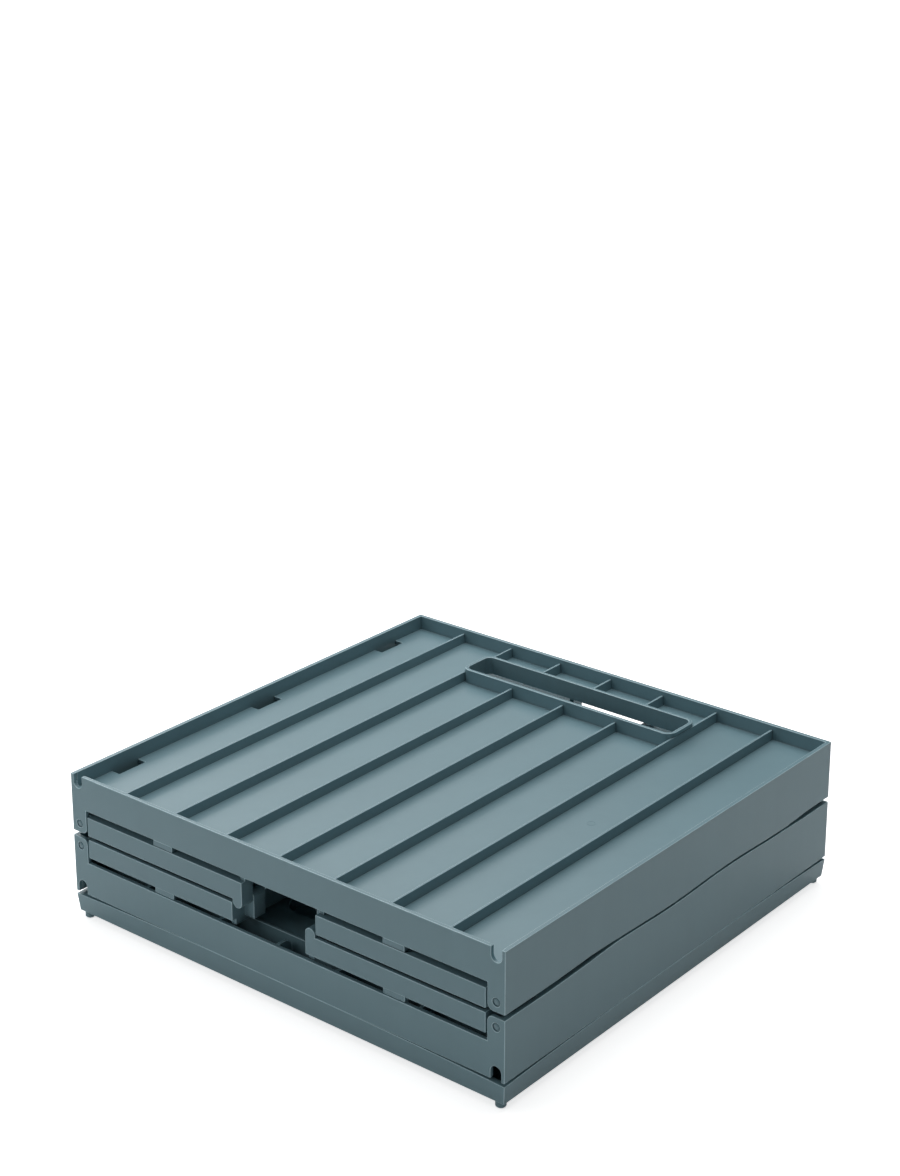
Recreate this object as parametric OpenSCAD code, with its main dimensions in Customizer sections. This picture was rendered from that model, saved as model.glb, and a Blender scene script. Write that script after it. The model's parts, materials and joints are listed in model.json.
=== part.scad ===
// Collapsible storage crate, folded flat and standing on its lid.
// X runs along the floor side of the folded crate, Y from the floor side to the open top side, Z up.
// The origin is at the middle of the footprint, on the surface that the lid's studs stand on.

/* [Overall] */
// Width of the crate and of its folded stack
crate_w = 320; // [260:5:400]
// Height of the crate's walls, which is the folded stack's depth
crate_h = 316; // [240:2:400]
// Depth of the opened crate, outer face to outer face
crate_d = 316; // [260:2:400]
// Thickness of the folded body, outer face to outer face
stack_h = 76; // [72:1:84]

/* [End walls] */
// Thickness of the rims, bands and legs
rim_t = 2.5; // [2:0.1:3]
// Thickness of the panel
panel_t = 2.5; // [2:0.1:3]
// How far the panel lies below the rim
panel_recess = 9.1; // [7:0.1:10]
// Depth of the band along the floor side
band_d = 21.1; // [19:0.1:22]
// Gap between the two walls at their corners when folded
corner_gap = 3.1; // [2.4:0.1:4]
// Gap between the two walls along the middle of their sides
side_gap = 1.4; // [1:0.1:2]
// Width of the legs that carry the hinge pins
leg_w = 11.4; // [11:0.1:11.5]
// Rounding of a leg's inner corner
leg_round = 3.8; // [3.4:0.1:4]
// Number of ribs across the panel
rib_count = 7; // [3:1:9]
// Distance from the middle to the inner gussets behind the band
gusset_near = 44; // [30:1:60]
// Distance from the middle to the outer gussets behind the band
gusset_far = 102; // [80:1:118]
// Thickness of the ribs
rib_t = 1.8; // [1.4:0.1:2.4]
// How far the ribs stay below the rim
rib_drop = 2.9; // [2:0.1:4]

/* [Hand slot] */
// Outer length of the collar round the slot
collar_l = 161.6; // [120:1:200]
// Outer width of the collar
collar_w = 28; // [26:0.5:34]
// Wall of the collar
collar_t = 2.2; // [1.8:0.1:2.6]
// Outer corner radius of the collar
collar_r = 6.5; // [5:0.5:9]
// Distance from the open top side to the collar
collar_inset = 25.7; // [20:0.1:34]

/* [Notches and windows] */
// Side clearance of a lid's stud in its notch
stud_clear = 0.5; // [0.3:0.05:0.8]
// Depth of the stud notches
notch_d = 8.1; // [7:0.1:9]
// Length of the windows above the hinge hooks
window_l = 21; // [14:1:30]
// Distance between the outer windows, middle to middle
window_spread = 236; // [160:4:250]
// How far the windows reach in from the rim
window_w = 6.5; // [6:0.1:7]

/* [Hinges] */
// Distance from the side face to the outer hinge axis
pin_side = 5.7; // [5.6:0.1:5.9]
// Distance from the fold plane to the outer hinge axis
pin_mid = 7.2; // [7:0.1:7.5]
// Radius of the outer hinge pins
pin_r = 1.5; // [1.2:0.1:1.6]
// Radius of the pins' domed heads
head_r = 2.2; // [2:0.1:2.3]
// Height of the domed heads
head_h = 0.9; // [0.7:0.1:1.1]
// How far a pin reaches into a leaf
pin_grip = 9; // [7:0.5:12]
// Radius of the knuckles at the centre hinge
knuckle_r = 3.5; // [3:0.1:3.6]
// Length of one knuckle
knuckle_l = 9.1; // [7:0.1:12]
// Radius of the centre hinge pins
centre_pin_r = 1.3; // [1:0.1:1.5]

/* [Leaves] */
// Thickness of a leaf, outer face to inner face
leaf_t = 11.8; // [11.4:0.1:11.9]
// Gap between a leaf's outer face and the fold plane
leaf_gap = 1.2; // [1:0.1:1.4]
// Thickness of a leaf's plate
plate_t = 2.5; // [2:0.1:3]
// Thickness of a leaf's edge walls
edge_t = 2; // [1.6:0.1:2.4]
// Number of ribs across the outer face of a leaf
leaf_ribs = 7; // [3:1:9]
// Width of the stiffening lip at the centre hinge
lip_w = 3.5; // [2.5:0.1:4]
// Distance from the hinge axis to the floor pad
pad_start = 61.1; // [50:0.1:70]
// Length of the floor pads
pad_l = 14.9; // [10:0.1:20]
// How far the floor pads stand back from the floor side's face
pad_setback = 0.6; // [0.4:0.1:1]

/* [Floor] */
// Height of the floor's seat above the crate's underside
floor_seat = 16.5; // [14:0.1:18]
// Thickness of the floor panel's plate
floor_t = 2.5; // [2:0.1:3]
// Free height above the floor panel in its storage space
store_clear = 2.3; // [1.5:0.1:3]
// Number of floor ribs each way
floor_ribs = 5; // [3:1:7]
// Length of the finger slot in the floor panel
finger_l = 60; // [40:1:80]
// Width of the finger slot in the floor panel
finger_w = 24; // [20:1:30]

/* [Lid] */
// Height of the lid without its studs
lid_h = 13.2; // [10:0.1:16]
// Thickness of the lid's plate
lid_plate_t = 2.5; // [2:0.1:3]
// How far the lid's walls lean in over their height
lid_taper = 1.1; // [0.6:0.1:1.6]
// Height of the ribs inside the lid
lid_rib_h = 3; // [2:0.1:5]
// Radius of the locating studs
stud_r = 3; // [2.6:0.1:3.2]
// Height of the locating studs
stud_h = 4.2; // [3:0.1:5]
// Chamfer round the end of a stud
stud_chamfer = 0.8; // [0.4:0.1:1]

/* [Clearances] */
// Radial clearance of a pin in the part that turns on it
turn_clear = 0.06; // [0.03:0.01:0.1]
// Radial clearance of a pin in the part that holds it
hold_clear = 0.02; // [0.01:0.01:0.03]
// Gap between parts that pass each other
pass_clear = 0.3; // [0.2:0.05:0.4]
// Gap between the two leaves' ends when the crate is open
end_clear = 0.7; // [0.5:0.1:1]
// Gap round the floor panel in the opened crate
floor_clear = 0.8; // [0.5:0.1:1.5]

/* [Hidden] */
$fn = 48;
eps = 0.01;

shell_grey = [0.40, 0.48, 0.51];
leaf_grey = [0.38, 0.46, 0.49];
pin_grey = [0.35, 0.43, 0.46];

// Heights of the outer planes and the fold plane
z_low = stud_h + lid_h;
z_top = z_low + stack_h;

// End wall, measured in depth from its rim plane
panel_in = panel_recess + panel_t;
pin_depth = stack_h / 2 - pin_mid;
leg_d = (stack_h - corner_gap) / 2;
side_d = (stack_h - side_gap) / 2;
step_front = 75;
step_rear = 25;
step_ramp = 25;
rib_pitch = crate_w / (rib_count + 1);
collar_y = crate_h - collar_inset - collar_w;
trough_wall = floor_seat - edge_t;
gusset_x = [-gusset_far, -gusset_near, 0, gusset_near, gusset_far];
gusset_r = 6;
gusset_end = floor_seat - 3;
gusset_drop = 0.3;
barrel_r = pin_side - rim_t - pass_clear;
recess_r = head_r + pass_clear;
notch_w = 2 * (stud_r + stud_clear);
stud_y = notch_d - notch_w / 2;

// Leaf, measured from its outer hinge axis: U away from it, V towards the inside of the crate
leaf_reach = crate_d / 2 - pin_depth;
leaf_out = leaf_gap - pin_mid;
leaf_in = leaf_out + leaf_t;
plate_v = leaf_in - plate_t;
leg_swing = leg_round + norm([leg_w - pin_side - leg_round, leg_d - pin_depth - leg_round]);
near_u = pass_clear + max(leg_swing, side_d - pin_depth);
web_t = 3;
hook_x = pin_side + min(barrel_r, plate_v) - pass_clear;
rib_set = 0.4;
centre_v = -pin_mid;
lip_v = stack_h / 2 - pin_mid - band_d - pass_clear;
lip_end = 3;
long_end = leaf_reach + knuckle_r;
short_end = leaf_reach - knuckle_r - end_clear;
knuckle_gap = 0.4;
long_cut = leaf_reach - knuckle_r - knuckle_gap;
short_knuckle_y = knuckle_l + knuckle_gap;
station_end = short_knuckle_y + knuckle_l;
inner_y = rim_t + pass_clear;
pin_l = inner_y + pin_grip;
centre_bore_y = 3;
centre_pin_y = centre_bore_y + knuckle_gap / 2;

// Floor panel, as stored inside the lower wall
floor_w = crate_w - 2 * (pin_side + leaf_in + floor_clear);
floor_l = crate_d - 2 * (panel_in + floor_clear);
floor_y = floor_seat + floor_clear;
floor_h = band_d + pass_clear - panel_in - store_clear;
finger_y = 20;

// A box given by its low corner and its high corner
module block(low, high) {
    translate(low) cube(high - low);
}

// The same shape at the floor side and, turned round, at the open top side
module both_ends() {
    children();
    translate([0, crate_h, 0]) mirror([0, 1, 0]) children();
}

// The same shape on the left and, turned round, on the right
module both_sides() {
    children();
    mirror([1, 0, 0]) children();
}

// A flat outline drawn in Y and Z, carried along X
module along_x(x0, x1) {
    translate([x0, 0, 0]) rotate([90, 0, 90]) linear_extrude(height = x1 - x0) children();
}

// A flat outline drawn in X and Z, carried along Y
module along_y(y0, y1) {
    translate([0, y1, 0]) rotate([90, 0, 0]) linear_extrude(height = y1 - y0) children();
}

// A cylinder along Y
module rod(r, y0, y1) {
    translate([0, y0, 0]) rotate([-90, 0, 0]) cylinder(r = r, h = y1 - y0);
}

// A flat outline with four round corners
module round_rect(w, h, r) {
    translate([r, 0]) square([w - 2 * r, h]);
    translate([0, r]) square([w, h - 2 * r]);
    for (x = [r, w - r], y = [r, h - r]) translate([x, y]) circle(r = r);
}

// A flat slot with round ends, of whole length l
module capsule(l, w) {
    translate([w / 2, 0]) square([l - w, w]);
    for (x = [w / 2, l - w / 2]) translate([x, w / 2]) circle(r = w / 2);
}

// Side rim of an end wall, a little deeper along its middle than at its corners
module side_rim() {
    along_x(-crate_w / 2, -crate_w / 2 + rim_t) polygon([
        [0, 0], [crate_h, 0], [crate_h, -leg_d], [crate_h - step_rear, -leg_d],
        [crate_h - step_rear - step_ramp, -side_d], [step_front + step_ramp, -side_d],
        [step_front, -leg_d], [0, -leg_d]
    ]);
}

// Leg at a corner, with its free inner corner rounded
module leg() {
    along_y(0, rim_t) translate([-crate_w / 2, -leg_d]) {
        translate([0, leg_round]) square([leg_w, leg_d - leg_round]);
        square([leg_w - leg_round, leg_round + eps]);
        translate([leg_w - leg_round, leg_round]) circle(r = leg_round);
    }
}

// Stud notch in the band, open to the rim plane
module notch() {
    straight = notch_d - notch_w / 2;
    translate([-crate_w / 2 + pin_side, 0, 0]) {
        block([-notch_w / 2, -eps, -straight], [notch_w / 2, rim_t + eps, eps]);
        translate([0, 0, -straight]) rod(notch_w / 2, -eps, rim_t + eps);
    }
}

// Hook under a window, which keeps the leaf's barrel in
module hook(y) {
    difference() {
        block([-crate_w / 2 + rim_t - eps, y - window_l / 2, -leg_d],
              [-crate_w / 2 + hook_x, y + window_l / 2, -pin_depth - barrel_r / 2]);
        translate([-crate_w / 2 + pin_side, 0, -pin_depth])
            rod(barrel_r + pass_clear, 0, crate_h);
    }
}

// Gusset behind the band, with a round free corner
module gusset(x) {
    top = band_d - gusset_drop;
    along_x(x - rib_t / 2, x + rib_t / 2) {
        translate([rim_t - eps, -top + gusset_r])
            square([gusset_end - rim_t, top - gusset_r - panel_in + eps]);
        translate([rim_t - eps, -top]) square([gusset_end - gusset_r - rim_t, gusset_r + eps]);
        intersection() {
            translate([gusset_end - gusset_r, -top + gusset_r]) circle(r = gusset_r);
            translate([rim_t, -top]) square([gusset_end - rim_t, gusset_r + eps]);
        }
    }
}

// Ribs across the panel, broken by the collar
module panel_ribs() {
    difference() {
        for (i = [1 : rib_count]) {
            x = -crate_w / 2 + i * rib_pitch;
            block([x - rib_t / 2, rim_t - eps, -panel_recess - eps],
                  [x + rib_t / 2, crate_h - rim_t + eps, -rib_drop]);
        }
        collar();
    }
}

// Collar round the hand slot, flush with the rim
module collar() {
    translate([-collar_l / 2, collar_y, -panel_in])
        linear_extrude(height = panel_in) round_rect(collar_l, collar_w, collar_r);
}

// The hand slot itself
module slot() {
    translate([-collar_l / 2 + collar_t, collar_y + collar_t, -panel_in - eps])
        linear_extrude(height = panel_in + 2 * eps)
            round_rect(collar_l - 2 * collar_t, collar_w - 2 * collar_t, collar_r - collar_t);
}

// End wall, with its rim plane at Z = 0 and its inside below
module end_wall() {
    half = crate_w / 2;
    windows = [for (i = [-1, 0, 1]) crate_h / 2 + i * window_spread / 2];
    difference() {
        union() {
            block([-half, 0, -panel_in], [half, crate_h, -panel_recess]);
            block([-half, 0, -band_d], [half, rim_t, 0]);
            block([-half, crate_h - rim_t, -panel_in], [half, crate_h, 0]);
            block([leg_w - half, trough_wall, -band_d], [half - leg_w, floor_seat, eps - panel_in]);
            both_sides() {
                side_rim();
                both_ends() leg();
                for (y = windows) hook(y);
            }
            for (x = gusset_x) gusset(x);
            panel_ribs();
            collar();
        }
        slot();
        both_sides() {
            notch();
            both_ends() translate([-half + pin_side, 0, -pin_depth]) {
                rod(pin_r + hold_clear, -eps, rim_t + eps);
                rod(recess_r, -eps, head_h);
            }
            for (y = windows)
                block([-half + rim_t, y - window_l / 2, -panel_in - eps],
                      [-half + rim_t + window_w, y + window_l / 2, eps - panel_recess]);
        }
    }
}

// Placement of the two walls, and of a leaf that hangs on each of their four corners
module at_upper_wall() {
    translate([0, -crate_h / 2, z_top]) children();
}

module at_lower_wall() {
    translate([0, -crate_h / 2, z_low]) rotate([0, 180, 0]) children();
}

module at_left_upper() {
    at_upper_wall() translate([-crate_w / 2 + pin_side, 0, -pin_depth]) children();
}

module at_right_lower() {
    at_lower_wall() translate([-crate_w / 2 + pin_side, 0, -pin_depth]) children();
}

module at_right_upper() {
    mirror([1, 0, 0]) at_left_upper() children();
}

module at_left_lower() {
    mirror([1, 0, 0]) at_right_lower() children();
}

// Knuckle of the centre hinge, from y0 to y0 + knuckle_l
module knuckle(y0, from_u) {
    block([from_u, y0, leaf_out], [leaf_reach + knuckle_r, y0 + knuckle_l, leaf_in]);
    block([leaf_reach - knuckle_r, y0, centre_v], [leaf_reach + knuckle_r, y0 + knuckle_l, leaf_in]);
    translate([leaf_reach, 0, centre_v]) rod(knuckle_r, y0, y0 + knuckle_l);
}

// Plate, edge walls, ribs, lip and floor pad of a leaf that ends at end_u
module leaf_body(end_u) {
    block([near_u, 0, plate_v], [end_u, crate_h, leaf_in]);
    block([near_u, 0, leaf_out], [near_u + edge_t, crate_h, leaf_in]);
    block([end_u - edge_t, 0, leaf_out], [end_u, crate_h, leaf_in]);
    both_ends() block([near_u, 0, leaf_out], [end_u, rim_t, leaf_in]);
    for (i = [1 : leaf_ribs]) {
        y = i * crate_h / (leaf_ribs + 1);
        block([near_u, y - rib_t / 2, leaf_out + rib_set], [end_u, y + rib_t / 2, leaf_in]);
    }
    block([end_u - lip_w, lip_end, plate_v], [end_u, crate_h - lip_end, lip_v]);
    block([pad_start, pad_setback, plate_v], [pad_start + pad_l, floor_seat, lip_v]);
}

// Barrel of the outer hinge, joined to the plate
module leaf_barrel() {
    far_y = crate_h - inner_y;
    rod(barrel_r, inner_y, far_y);
    block([-barrel_r + eps, inner_y, plate_v], [near_u + eps, far_y, leaf_in]);
    block([-web_t / 2, inner_y, 0], [web_t / 2, far_y, plate_v + eps]);
}

// Bores for the two outer hinge pins
module leaf_bores() {
    both_ends() rod(pin_r + turn_clear, inner_y - eps, pin_l + pass_clear);
}

// Leaf whose end passes the fold line; its knuckles are the outermost ones
module long_leaf() {
    difference() {
        union() {
            difference() {
                leaf_body(long_end);
                both_ends() block([long_cut, knuckle_l, centre_v - knuckle_r],
                                  [long_end + eps, station_end + knuckle_gap, lip_v + eps]);
            }
            both_ends() {
                knuckle(0, leaf_reach - knuckle_r);
                block([long_cut - edge_t, knuckle_l - eps, leaf_out],
                      [long_cut, station_end + knuckle_gap + eps, leaf_in]);
            }
            leaf_barrel();
        }
        leaf_bores();
        both_ends() translate([leaf_reach, 0, centre_v])
            rod(centre_pin_r + turn_clear, centre_bore_y, knuckle_l + eps);
    }
}

// Leaf whose end stays short of the fold line; its knuckles lie inside the other leaf's
module short_leaf() {
    difference() {
        union() {
            leaf_body(short_end);
            both_ends() knuckle(short_knuckle_y, short_end - edge_t);
            leaf_barrel();
        }
        leaf_bores();
        both_ends() translate([leaf_reach, 0, centre_v])
            rod(centre_pin_r + hold_clear, short_knuckle_y - eps, station_end + eps);
    }
}

// Outer hinge pin with a domed head, its head flush with the leg's face at Y = 0
module hinge_pin() {
    dome_r = (head_r * head_r + head_h * head_h) / (2 * head_h);
    rod(pin_r, head_h - eps, pin_l);
    intersection() {
        translate([0, dome_r, 0]) sphere(r = dome_r);
        rod(head_r, 0, head_h);
    }
}

// Headless pin of the centre hinge
module centre_pin() {
    translate([leaf_reach, 0, centre_v]) rod(centre_pin_r, centre_pin_y, station_end);
}

// The end of the crate that lies at the open top side
module at_rear() {
    translate([0, crate_h, 0]) mirror([0, 1, 0]) children();
}

module lower_end_wall() {
    color(shell_grey) at_lower_wall() end_wall();
}

module upper_end_wall() {
    color(shell_grey) at_upper_wall() end_wall();
}

module left_upper_leaf() {
    color(leaf_grey) at_left_upper() long_leaf();
}

module right_lower_leaf() {
    color(leaf_grey) at_right_lower() long_leaf();
}

module left_lower_leaf() {
    color(leaf_grey) at_left_lower() short_leaf();
}

module right_upper_leaf() {
    color(leaf_grey) at_right_upper() short_leaf();
}

module left_lower_front_pin() {
    color(pin_grey) at_left_lower() hinge_pin();
}

module left_lower_rear_pin() {
    color(pin_grey) at_left_lower() at_rear() hinge_pin();
}

module left_upper_front_pin() {
    color(pin_grey) at_left_upper() hinge_pin();
}

module left_upper_rear_pin() {
    color(pin_grey) at_left_upper() at_rear() hinge_pin();
}

module right_lower_front_pin() {
    color(pin_grey) at_right_lower() hinge_pin();
}

module right_lower_rear_pin() {
    color(pin_grey) at_right_lower() at_rear() hinge_pin();
}

module right_upper_front_pin() {
    color(pin_grey) at_right_upper() hinge_pin();
}

module right_upper_rear_pin() {
    color(pin_grey) at_right_upper() at_rear() hinge_pin();
}

module left_centre_front_pin() {
    color(pin_grey) at_left_lower() centre_pin();
}

module left_centre_rear_pin() {
    color(pin_grey) at_left_lower() at_rear() centre_pin();
}

module right_centre_front_pin() {
    color(pin_grey) at_right_upper() centre_pin();
}

module right_centre_rear_pin() {
    color(pin_grey) at_right_upper() at_rear() centre_pin();
}

// Loose floor, stored flat on the inside of the lower wall
module floor_panel() {
    cell_x = floor_w / (floor_ribs + 1);
    cell_y = floor_l / (floor_ribs + 1);
    color(shell_grey) translate([0, floor_y - crate_h / 2, z_low + panel_in]) difference() {
        union() {
            block([-floor_w / 2, 0, floor_h - floor_t], [floor_w / 2, floor_l, floor_h]);
            both_sides() block([-floor_w / 2, 0, 0], [rib_t - floor_w / 2, floor_l, floor_h]);
            for (y = [0, floor_l - rib_t])
                block([-floor_w / 2, y, 0], [floor_w / 2, y + rib_t, floor_h]);
            for (i = [1 : floor_ribs]) {
                x = i * cell_x - floor_w / 2;
                block([x - rib_t / 2, 0, 0], [x + rib_t / 2, floor_l, floor_h]);
                y = i * cell_y;
                block([-floor_w / 2, y - rib_t / 2, 0], [floor_w / 2, y + rib_t / 2, floor_h]);
            }
            translate([-finger_l / 2 - rib_t, finger_y - rib_t, 0])
                linear_extrude(height = floor_h) capsule(finger_l + 2 * rib_t, finger_w + 2 * rib_t);
        }
        translate([-finger_l / 2, finger_y, -eps])
            linear_extrude(height = floor_h + 2 * eps) capsule(finger_l, finger_w);
    }
}

// Locating stud at one corner, with a chamfered end
module stud() {
    translate([-crate_w / 2 + pin_side, stud_y, 0]) {
        translate([0, 0, stud_chamfer]) cylinder(r = stud_r, h = stud_h - stud_chamfer + eps);
        cylinder(r1 = stud_r - stud_chamfer, r2 = stud_r, h = stud_chamfer + eps);
    }
}

// A thin slice of the lid's outer shape
module lid_outline(z, inset) {
    half = [crate_w / 2 - inset, crate_h / 2 - inset];
    block([-half[0], -half[1], z], [half[0], half[1], z + eps]);
}

// Lid, turned upside down under the folded body with its studs as feet
module lid() {
    inner = [crate_w / 2 - rim_t - lid_taper, crate_h / 2 - rim_t - lid_taper];
    cells = rib_count + 1;
    color(shell_grey) {
        difference() {
            hull() {
                lid_outline(stud_h, lid_taper);
                lid_outline(z_low - eps, 0);
            }
            block([-inner[0], -inner[1], stud_h + lid_plate_t], [inner[0], inner[1], z_low + eps]);
        }
        for (i = [1 : rib_count]) {
            x = i * 2 * inner[0] / cells - inner[0];
            y = i * 2 * inner[1] / cells - inner[1];
            block([x - rib_t / 2, -inner[1] - eps, stud_h + lid_plate_t - eps],
                  [x + rib_t / 2, inner[1] + eps, stud_h + lid_plate_t + lid_rib_h]);
            block([-inner[0] - eps, y - rib_t / 2, stud_h + lid_plate_t - eps],
                  [inner[0] + eps, y + rib_t / 2, stud_h + lid_plate_t + lid_rib_h]);
        }
        translate([0, -crate_h / 2, 0]) both_sides() both_ends() stud();
    }
}

lid();
lower_end_wall();
upper_end_wall();
floor_panel();
left_lower_leaf();
left_upper_leaf();
right_lower_leaf();
right_upper_leaf();
left_lower_front_pin();
left_lower_rear_pin();
left_upper_front_pin();
left_upper_rear_pin();
right_lower_front_pin();
right_lower_rear_pin();
right_upper_front_pin();
right_upper_rear_pin();
left_centre_front_pin();
left_centre_rear_pin();
right_centre_front_pin();
right_centre_rear_pin();
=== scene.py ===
"""Folding storage crate: the finish of its mouldings and pins, its floor, lights and camera."""

import functools
import json
import math

import bmesh
import bpy
from bpy.props import FloatProperty, FloatVectorProperty, IntProperty, PointerProperty
from mathutils import Euler, Matrix, Vector


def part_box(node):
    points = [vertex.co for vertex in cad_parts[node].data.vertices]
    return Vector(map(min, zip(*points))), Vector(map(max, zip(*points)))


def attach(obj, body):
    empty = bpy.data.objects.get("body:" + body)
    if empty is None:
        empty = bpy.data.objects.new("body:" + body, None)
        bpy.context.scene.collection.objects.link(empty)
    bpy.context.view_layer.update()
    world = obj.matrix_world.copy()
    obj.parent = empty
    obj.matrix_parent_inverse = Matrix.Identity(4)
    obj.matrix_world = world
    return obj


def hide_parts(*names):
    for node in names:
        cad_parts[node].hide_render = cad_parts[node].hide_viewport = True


bl_info = {
    "name": "Folding Crate",
    "version": (1, 0, 0),
    "blender": (4, 5, 0),
    "location": "3D View > Sidebar > Crate",
    "description": "Finishes the mouldings, pins, lid and loose floor of a folding crate and lights them",
    "category": "Object",
}

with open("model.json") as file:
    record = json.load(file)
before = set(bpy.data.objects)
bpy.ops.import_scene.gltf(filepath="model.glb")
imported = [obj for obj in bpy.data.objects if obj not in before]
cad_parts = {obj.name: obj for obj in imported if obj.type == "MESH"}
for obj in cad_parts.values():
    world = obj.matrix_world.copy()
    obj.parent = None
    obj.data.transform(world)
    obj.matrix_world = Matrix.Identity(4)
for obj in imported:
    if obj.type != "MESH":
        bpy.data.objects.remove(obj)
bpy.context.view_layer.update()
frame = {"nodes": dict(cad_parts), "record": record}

MM = 0.001

# How near two corners, planes or heights lie that count as one.
WELD = 0.02 * MM
ON_PLANE = 1e-7
LEVEL = 0.05 * MM

# Bends between faces: up to the first they count as one flat face, over the second as an edge.
FLAT_ANGLE = math.radians(0.5)
SHARP_ANGLE = math.radians(32)

# Strips to a rounded edge, and how much more a wide face counts in the shading than a narrow one.
BEVEL_STEPS = 2
AREA_WEIGHT = 80

# Planes square to X and Y cut the mouldings up, so that they can bend.
BEND_AXES = (0, 1)

# A rib's top lies within this distance of its middle line.
RIB_HALF_WIDTH = 1.2 * MM

# The powers with which a rim's bend fades towards its stiff root and towards the middle of a side.
RIM_FADE = 3
CORNER_FADE = 3

# Patterns of the plastic: noise runs from 0 to 1 about its middle. Fine grain has one share of the tone
# and broad clouds the rest, streaks are drawn out along Z, and the painted highlight and lower roughness of
# the outer edges are uneven.
NOISE_MIDDLE = 0.5
FINE_SHARE = 0.35
CLOUDS_PER_METRE = 14.0
STREAK_STRETCH = 0.08
EDGE_MASK_LEAST = 0.5
EDGE_MASK_SWING = 0.9

# Moulded marks: sides of a mark and of its bead, and the share of the bead's thickness that is sunk.
MARK_SIDES = 32
BEAD_SIDES = 6
MARK_SINK = 0.4

# Turned pins: how closely the rings crowd towards the head, and the smallest ring's share of its radius.
RING_CROWDING = 2.2
SMALLEST_RING = 0.02

NUMBER = "NodeSocketFloat"
COUNT = "NodeSocketInt"
VECTOR = "NodeSocketVector"
MATERIAL = "NodeSocketMaterial"
GEOMETRY = "NodeSocketGeometry"

# Each end wall, and the way along Z from its rim into the crate.
WALLS = {"upper_end_wall": -1, "lower_end_wall": 1}
LOWER_LEAVES = ("left_lower_leaf", "right_lower_leaf")
LEAVES = ("left_upper_leaf", "left_lower_leaf", "right_upper_leaf", "right_lower_leaf")

# Each slot's material: its name, change of tone, strength of the flow streaks and added roughness.
FINISHES = {
    "shell": ("moulded_shell", 0.07, 0.10, 0.0),
    "leaf": ("moulded_leaf", 0.05, 0.05, 0.03),
    "pin": ("moulded_pin", 0.03, 0.02, -0.12),
}

# Each lamp's place and size; its power is a setting of the studio. All look at the same point.
LAMPS = {
    "key": ((-1.1, 0.75, 1.15), (1.3, 0.9)),
    "glare": ((-1.3, 0.5, 0.8), (0.8, 0.6)),
    "top": ((-0.2, 0.3, 1.6), (1.4, 1.4)),
    "front": ((-0.9, -1.2, 0.8), (0.9, 0.9)),
}
LAMP_TARGET = (0.0, 0.0, 0.08)
FLOOR_REACH = 14.0


def body_of_node(node):
    """Name of the body that carries a node."""
    groups = frame["record"]["behaviour"]["bodies"]
    return next(body for body, nodes in groups.items() if node in nodes)


def slot_of_node(node):
    """Name of the material slot that a node takes its finish from."""
    return next(part["material_slot"] for part in frame["record"]["subparts"] if part["node"] == node)


def fold_height():
    """Height of the plane in which the two end walls meet."""
    return (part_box("upper_end_wall")[1].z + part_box("lower_end_wall")[0].z) / 2


# ---------------------------------------------------------------- sizes and colours


class CratePlastic(bpy.types.PropertyGroup):
    """Colours and surface of the moulded plastic."""

    shell_colour: FloatVectorProperty(
        name="Shell colour", description="Colour of the end walls, the lid and the loose floor",
        subtype="COLOR", size=3, min=0, max=1, default=(0.155, 0.265, 0.305))
    leaf_colour: FloatVectorProperty(
        name="Leaf colour", description="Colour of the folding side leaves",
        subtype="COLOR", size=3, min=0, max=1, default=(0.153, 0.260, 0.300))
    pin_colour: FloatVectorProperty(
        name="Pin colour", description="Colour of the hinge pins",
        subtype="COLOR", size=3, min=0, max=1, default=(0.145, 0.248, 0.288))
    roughness: FloatProperty(
        name="Roughness", description="Mean roughness of the grained faces", min=0, max=1, default=0.40)
    grain_size: FloatProperty(
        name="Grain size", description="Width of one grain of the moulded texture",
        subtype="DISTANCE", unit="LENGTH", default=0.45 * MM)
    grain_depth: FloatProperty(
        name="Grain depth", description="Height of the moulded texture",
        subtype="DISTANCE", unit="LENGTH", default=0.03 * MM)
    grain_strength: FloatProperty(
        name="Grain strength", description="How strongly the moulded texture shades a face",
        min=0, max=1, default=0.6)
    # Painted highlight: the outer edges are mixed towards a pale colour of their own, so that they look lit.
    edge_light: FloatProperty(
        name="Edge highlight", description="How far the rubbed outer edges take their own colour",
        min=0, max=1, default=1.0)
    edge_colour: FloatVectorProperty(
        name="Edge colour", description="Colour of the rubbed outer edges",
        subtype="COLOR", size=3, min=0, max=1, default=(0.44, 0.62, 0.68))
    edge_gloss: FloatProperty(
        name="Edge gloss", description="How much less rough the rubbed outer edges are",
        min=0, max=1, default=0.12)
    # Painted shade: the roots between two faces are darkened, as if shade fell in them.
    root_shade: FloatProperty(
        name="Root shade", description="How bright the roots between two faces stay",
        min=0, max=1, default=0.6)


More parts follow.
